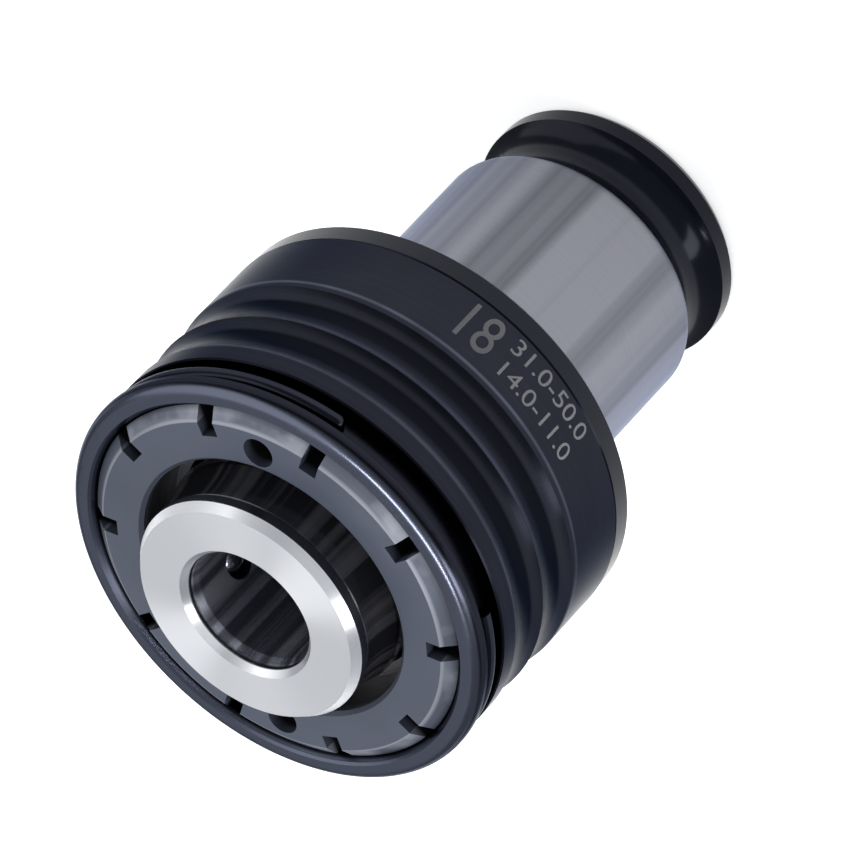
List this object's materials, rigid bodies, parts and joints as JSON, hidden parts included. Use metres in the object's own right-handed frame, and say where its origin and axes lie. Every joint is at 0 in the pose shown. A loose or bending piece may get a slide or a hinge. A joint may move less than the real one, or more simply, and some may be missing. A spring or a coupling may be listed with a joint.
{
  "type": "quick change adapter",
  "caption": "Quick change tap adapter with an overload slip clutch, torque adjusting nut, release sleeve and ball clamping for a square ended tap shank.",
  "frame": {"origin": "centre of the shank's rear face on the axis, where the upright adapter stands on the ground plane", "axes": "+Z along the tool axis from the shank's tail to the nose, -Y is the side of the head that faces the picture's camera, +X completes a right handed set"},
  "size_m": [0.0498, 0.0498, 0.071],
  "materials": {
    "ground_steel": "fine ground, with the tail and the rear flange black oxide",
    "black_oxide": "glossy black oxide over fine turning",
    "nut_steel": "grey blue oxide, turned",
    "sleeve_steel": "polished black oxide",
    "spindle_steel": "black oxide with a bright turned nose face",
    "wire_steel": "black spring wire",
    "bright_steel": "ground, lightly oiled",
    "spring_steel": "blued spring steel",
    "ball_steel": "polished bearing steel",
    "cage_brass": "machined brass",
    "lining": "sintered bronze friction lining",
    "seal_rubber": "black nitrile"
  },
  "bodies": {
    "adapter_body": {"shank_body": "ground_steel", "clutch_housing": "black_oxide", "housing_pins": "bright_steel", "drive_pins": "bright_steel", "lock_wire": "wire_steel", "disc_spring_1": "spring_steel", "disc_spring_2": "spring_steel", "disc_spring_3": "spring_steel", "disc_spring_4": "spring_steel", "pressure_ring": "bright_steel", "friction_ring": "lining"},
    "nut_seat": {"thrust_washer": "bright_steel"},
    "nut": {"adjusting_nut": "nut_steel"},
    "bearing_cage": {"thrust_cage": "cage_brass", "thrust_balls": "ball_steel"},
    "spindle": {"spindle": "spindle_steel", "clutch_hub": "bright_steel", "hub_keys": "bright_steel", "spring_seat": "bright_steel", "release_spring": "spring_steel", "shank_seal": "seal_rubber", "tail_washer": "bright_steel", "tail_circlip": "spring_steel"},
    "sleeve": {"release_sleeve": "sleeve_steel"},
    "ball_1": {"clamp_ball_1": "ball_steel"},
    "ball_2": {"clamp_ball_2": "ball_steel"},
    "ball_3": {"clamp_ball_3": "ball_steel"}
  },
  "joints": [
    {"name": "clutch_slip", "type": "hinge", "parent": "adapter_body", "child": "spindle", "pos_m": [0, 0, 0], "axis": [0, 0, 1], "continuous": true},
    {"name": "release_slide", "type": "slide", "parent": "spindle", "child": "sleeve", "axis": [0, 0, -1], "range_m": [0, 0.0035], "stiffness_N_per_m": 1500, "springref_m": -0.006, "deforming": ["release_spring"]},
    {"name": "nut_travel", "type": "slide", "parent": "adapter_body", "child": "nut_seat", "axis": [0, 0, 1], "range_m": [-0.00076, 0.00151], "deforming": ["disc_spring_1", "disc_spring_2", "disc_spring_3", "disc_spring_4"]},
    {"name": "nut_turn", "type": "hinge", "parent": "nut_seat", "child": "nut", "pos_m": [0, 0, 0], "axis": [0, 0, 1], "range_deg": [-180, 360]},
    {"name": "thrust_cage_spin", "type": "hinge", "parent": "adapter_body", "child": "bearing_cage", "pos_m": [0, 0, 0], "axis": [0, 0, 1], "continuous": true},
    {"name": "clamp_ball_1_slide", "type": "slide", "parent": "spindle", "child": "ball_1", "axis": [0.6293, 0.7771, 0], "range_m": [0, 0.00046]},
    {"name": "clamp_ball_2_slide", "type": "slide", "parent": "spindle", "child": "ball_2", "axis": [-0.9877, 0.1564, 0], "range_m": [0, 0.00046]},
    {"name": "clamp_ball_3_slide", "type": "slide", "parent": "spindle", "child": "ball_3", "axis": [0.3584, -0.9336, 0], "range_m": [0, 0.00046]}
  ],
  "couplings": [
    {"joint": "nut_travel", "follows": "nut_turn", "m_per_rad": 0.00023873},
    {"joint": "thrust_cage_spin", "follows": "clutch_slip", "ratio": 0.5},
    {"joint": "clamp_ball_1_slide", "follows": "release_slide", "ratio": 0.1286},
    {"joint": "clamp_ball_2_slide", "follows": "release_slide", "ratio": 0.1286},
    {"joint": "clamp_ball_3_slide", "follows": "release_slide", "ratio": 0.1286}
  ]
}
